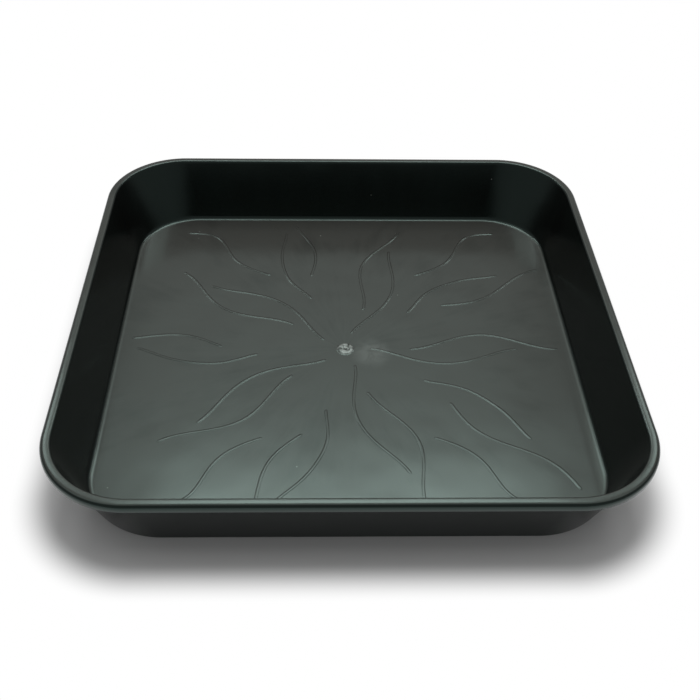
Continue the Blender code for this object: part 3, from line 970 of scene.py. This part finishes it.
def room(stage):
    """World: plain white to the camera; in gloss a dim room with a white backdrop behind the saucer.

    The backdrop is narrow, with soft sides, and fades out toward the floor.
    """
    world = bpy.context.scene.world or bpy.data.worlds.new("room")
    world.use_nodes = True
    tree = world.node_tree
    shade = tree.nodes["Background"]
    shade.inputs["Color"].default_value = (1, 1, 1, 1)
    path = add(tree, "ShaderNodeLightPath")
    way = add(tree, "ShaderNodeSeparateXYZ", {0: add(tree, "ShaderNodeTexCoord").outputs["Generated"]})
    aside = add(tree, MATH, {0: way.outputs["X"]}, operation="ABSOLUTE")
    behind = add(tree, "ShaderNodeMapRange", {
        "Value": aside,
        "From Min": stage.backdrop_width * (1 - BACKDROP_EDGE),
        "From Max": stage.backdrop_width * (1 + BACKDROP_EDGE),
        "To Min": 1.0, "To Max": 0.0,
    }, interpolation_type="SMOOTHSTEP")
    ahead = add(tree, "ShaderNodeMapRange", {
        "Value": way.outputs["Y"], "From Min": BACKDROP_AHEAD[0], "From Max": BACKDROP_AHEAD[1],
    }, interpolation_type="SMOOTHSTEP")
    high = add(tree, "ShaderNodeMapRange", {
        "Value": way.outputs["Z"], "From Min": BACKDROP_HIGH[0], "From Max": BACKDROP_HIGH[1],
    }, interpolation_type="SMOOTHSTEP")
    backdrop = behind
    for limit in (ahead, high):
        backdrop = add(tree, MATH, {0: backdrop, 1: limit}, operation="MULTIPLY")
    bright = add(tree, MATH, {0: backdrop, 1: 1.0 - stage.room, 2: stage.room}, operation="MULTIPLY_ADD")
    gloss = add(tree, MATH, {0: path.outputs["Is Glossy Ray"], 1: bright}, operation="MULTIPLY")
    seen = add(tree, MATH, {
        0: path.outputs["Is Camera Ray"], 1: path.outputs["Is Transmission Ray"],
    }, operation="MAXIMUM")
    lit = add(tree, MATH, {0: path.outputs["Is Diffuse Ray"], 1: stage.fill}, operation="MULTIPLY")
    lit = add(tree, MATH, {0: gloss, 1: lit}, operation="MAXIMUM")
    strength = add(tree, MATH, {0: seen, 1: lit}, operation="MAXIMUM")
    tree.links.new(strength.outputs[0], shade.inputs["Strength"])
    return world


class SAUCER_OT_add_stage(Operator):
    """Add the floor, the lamps, the room's light and the camera"""

    bl_idname = "saucer.add_stage"
    bl_label = "Add Stage"

    def execute(self, context):
        scene = context.scene
        stage = scene.saucer_stage
        reach = stage.floor_side / 2
        mesh = bpy.data.meshes.new("floor")
        corners = [(-reach, -reach, 0), (reach, -reach, 0), (reach, reach, 0), (-reach, reach, 0)]
        mesh.from_pydata(corners, [], [(0, 1, 2, 3)])
        mesh.materials.append(paper_floor(stage))
        floor = bpy.data.objects.new("floor", mesh)
        scene.collection.objects.link(floor)

        lamp("back_softbox", BACK_MIDDLE, BACK_SIZE, stage.back_radiance)
        strip_size = (stage.strip_width, STRIP_DEPTH)
        for name, side in (("left_strip", -1), ("right_strip", 1)):
            across = BACK_MIDDLE[0] + side * stage.strip_offset
            lamp(name, (across, STRIP_BACK), strip_size, stage.back_radiance)
        lamp("top_softbox", TOP_MIDDLE, TOP_SIZE, stage.top_radiance)

        scene.world = room(stage)
        scene.view_settings.view_transform = "Standard"
        camera()
        return {"FINISHED"}


class SAUCER_PT_parts(Panel):
    """Lists the saucer's pieces and its stage"""

    bl_label = "Square Plant Saucer"
    bl_idname = "SAUCER_PT_parts"
    bl_space_type = "VIEW_3D"
    bl_region_type = "UI"
    bl_category = "Saucer"

    def draw(self, context):
        for operator in OPERATORS:
            self.layout.operator(operator.bl_idname)


GROUPS = {
    "saucer_tray": TraySizes,
    "saucer_ribs": RibSizes,
    "saucer_gate": GateSizes,
    "saucer_finish": PlasticFinish,
    "saucer_stage": StageSettings,
}
OPERATORS = (SAUCER_OT_add_tray, SAUCER_OT_add_ribs, SAUCER_OT_add_gate_mark, SAUCER_OT_add_stage)


def register():
    for name, group in GROUPS.items():
        bpy.utils.register_class(group)
        setattr(bpy.types.Scene, name, PointerProperty(type=group))
    for kind in (*OPERATORS, SAUCER_PT_parts):
        bpy.utils.register_class(kind)


def unregister():
    for kind in (SAUCER_PT_parts, *reversed(OPERATORS)):
        bpy.utils.unregister_class(kind)
    for name, group in reversed(GROUPS.items()):
        delattr(bpy.types.Scene, name)
        bpy.utils.unregister_class(group)


def main():
    """Builds the saucer and its stage."""
    register()
    bpy.ops.saucer.add_tray()
    bpy.ops.saucer.add_ribs()
    bpy.ops.saucer.add_gate_mark()
    bpy.ops.saucer.add_stage()


if __name__ == "__main__":
    main()
